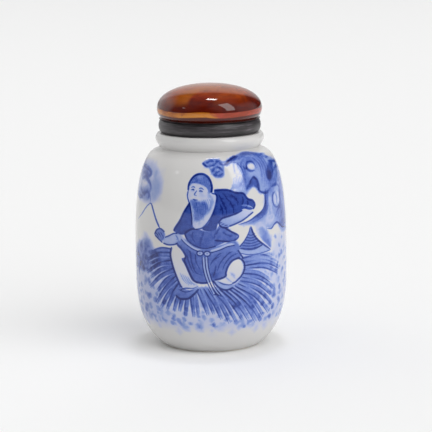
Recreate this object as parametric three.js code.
// A round porcelain snuff bottle with its stopper.
//
// Three pieces make it up:
// - the hollow bottle, one fired piece from its foot to its flanged lip;
// - the stopper's dark collar, a turned disc that lies on the lip, with a short plug that stands in the mouth;
// - the stopper's polished cabochon, a low dome on the collar.
// The stopper lifts straight out.
//
// Millimetres, +Z up. The origin is the centre of the foot, on the surface that the bottle stands on.
// The side towards -Y is the front.

import * as THREE from "three";

// Driving dimensions of the bottle.
const BELLY_R = 20.9; // widest radius of the body
const BELLY_LOW = 22.4; // the body is widest from this height
const BELLY_HIGH = 26; // up to this one
const HEEL_SINK = 2.75; // how far below the foot the heel's curve would close
const HEEL_POWER = 2.86; // squareness of the heel, 2 is an ellipse
const FOOT_RING = 2.1; // flat width of the ring that the bottle stands on
const FOOT_RECESS = 0.9; // depth of the hollow inside that ring
const SHOULDER_R = 13; // where the shoulder's curve would close
const SHOULDER_Z = 54.6;
const SHOULDER_POWER = 2.6;
const WAIST_R = 13.6; // groove between the shoulder and the lip
const WAIST_Z = 54.9;
const LIP_R = 14.9; // outer radius of the flanged lip
const LIP_WIDE_Z = 57.3; // height of its widest place
const LIP_Z = 58.8; // flat top of the lip
const LIP_ROUND = 1; // how far in the lip's top edge is rounded
const MOUTH_R = 9.6; // bore of the mouth
const MOUTH_EASE = 0.5; // rounding of the mouth's rim
const WALL = 2.4; // thickness of the body's wall
const FLOOR = 3.2; // height of the floor inside, at its middle

// Driving dimensions of the stopper.
const COLLAR_R = 14; // widest radius of the collar's rounded edge
const COLLAR_FLAT_R = 12.8; // radius of its flat faces
const COLLAR_HEIGHT = 3.9;
const COLLAR_WIDE = 2; // height of its widest place over the lip
const PLUG_R = 9.2; // plug just under the collar
const PLUG_TIP_R = 8.7; // and at its lower end
const PLUG_LENGTH = 4.2;
const PLUG_EASE = 0.4; // bevel at the plug's lower end
const DOME_R = 14.4; // widest radius of the cabochon
const DOME_SEAT_R = 12.5; // radius of its flat underside
const DOME_GIRDLE = 2.6; // height of its widest place over the underside
const DOME_HEIGHT = 9.3;
const DOME_POWER = 2.2; // squareness of the dome

const SEGMENTS = 60; // flats round each turned piece

const FINISHES = {
  porcelain: { color: 0xdedddc, roughness: 0.12, metalness: 0 },
  horn: { color: 0x3b373c, roughness: 0.42, metalness: 0 },
  agate: { color: 0x7a2413, roughness: 0.05, metalness: 0 },
};

const QUARTER = Math.PI / 2;

// A point of a profile: radius from the axis, and height.
function point(radius, height) {
  return new THREE.Vector2(radius, height);
}

// A quarter of a superellipse, from its widest place (r0, z0) towards the place (r1, z1) where it would lie
// flat. The higher its power, the squarer it turns. It stops after the share "reach" of its height.
function quarter(r0, z0, r1, z1, power, steps, reach = 1) {
  const end = Math.asin(Math.pow(reach, power / 2));
  const points = [];
  for (let i = 0; i <= steps; i++) {
    const turn = (end * i) / steps;
    const across = Math.pow(Math.max(Math.cos(turn), 0), 2 / power);
    const along = Math.pow(Math.sin(turn), 2 / power);
    points.push(point(r1 + (r0 - r1) * across, z0 + (z1 - z0) * along));
  }
  return points;
}

// A solid of revolution about +Z. Its profile runs counterclockwise, up the outside.
function turned(profile) {
  const apart = profile.filter((p, i) => i === 0 || p.distanceTo(profile[i - 1]) > 1e-3);
  return new THREE.LatheGeometry(apart, SEGMENTS).rotateX(QUARTER);
}

function piece(name, profile, finish) {
  const mesh = new THREE.Mesh(turned(profile), new THREE.MeshStandardMaterial(FINISHES[finish]));
  mesh.name = name;
  return mesh;
}

// The underside, from its centre out to the edge of the standing ring, which the heel's curve sets.
function foot(edge) {
  const inner = edge - FOOT_RING;
  return [point(0, FOOT_RECESS), point(inner - FOOT_RECESS, FOOT_RECESS), point(inner, 0)];
}

// The outside of the body: the heel rounds out to the belly, and the shoulder in to the waist.
function outside() {
  const heelReach = BELLY_LOW / (BELLY_LOW + HEEL_SINK);
  const heel = quarter(BELLY_R, BELLY_LOW, 0, -HEEL_SINK, HEEL_POWER, 11, heelReach).reverse();
  const shoulder = quarter(BELLY_R, BELLY_HIGH, SHOULDER_R, SHOULDER_Z, SHOULDER_POWER, 12);
  return [...heel, ...shoulder.filter((p) => p.x > WAIST_R)];
}

// The lip: it swells out from the waist, and its top edge rounds in to the flat that the collar lies on.
function lip() {
  const swell = new THREE.QuadraticBezierCurve(
    point(WAIST_R, WAIST_Z),
    point(LIP_R - LIP_ROUND / 3, WAIST_Z + LIP_ROUND),
    point(LIP_R, LIP_WIDE_Z),
  );
  const edge = quarter(LIP_R, LIP_WIDE_Z, LIP_R - LIP_ROUND, LIP_Z, 2, 4);
  return [...swell.getPoints(4), ...edge];
}

// The inside, from the mouth's rim down the bore and the wall to the middle of the floor.
function inside() {
  const rim = quarter(MOUTH_R, LIP_Z - MOUTH_EASE, MOUTH_R + MOUTH_EASE, LIP_Z, 2, 2).reverse();
  const innerR = BELLY_R - WALL;
  const shoulder = quarter(innerR, BELLY_HIGH, MOUTH_R, SHOULDER_Z - WALL, SHOULDER_POWER, 8).reverse();
  const heel = quarter(innerR, BELLY_LOW, 0, FLOOR, HEEL_POWER, 8);
  return [...rim, ...shoulder, ...heel];
}

function bottle() {
  const body = outside();
  return piece("bottle", [...foot(body[0].x), ...body, ...lip(), ...inside()], "porcelain");
}

function stopperCollar() {
  const top = LIP_Z + COLLAR_HEIGHT;
  const wide = LIP_Z + COLLAR_WIDE;
  const tip = LIP_Z - PLUG_LENGTH;
  const profile = [
    point(0, tip),
    point(PLUG_TIP_R - PLUG_EASE, tip),
    point(PLUG_TIP_R, tip + PLUG_EASE),
    point(PLUG_R, LIP_Z),
    ...quarter(COLLAR_R, wide, COLLAR_FLAT_R, LIP_Z, 2, 4).reverse(),
    ...quarter(COLLAR_R, wide, COLLAR_FLAT_R, top, 2, 4),
    point(0, top),
  ];
  return piece("stopper_collar", profile, "horn");
}

function stopperCabochon() {
  const seat = LIP_Z + COLLAR_HEIGHT;
  const girdle = seat + DOME_GIRDLE;
  const profile = [
    point(0, seat),
    ...quarter(DOME_R, girdle, DOME_SEAT_R, seat, 2, 4).reverse(),
    ...quarter(DOME_R, girdle, 0, seat + DOME_HEIGHT, DOME_POWER, 9),
  ];
  return piece("stopper_cabochon", profile, "agate");
}

const snuffBottle = new THREE.Group();
snuffBottle.add(bottle(), stopperCollar(), stopperCabochon());

export default snuffBottle;
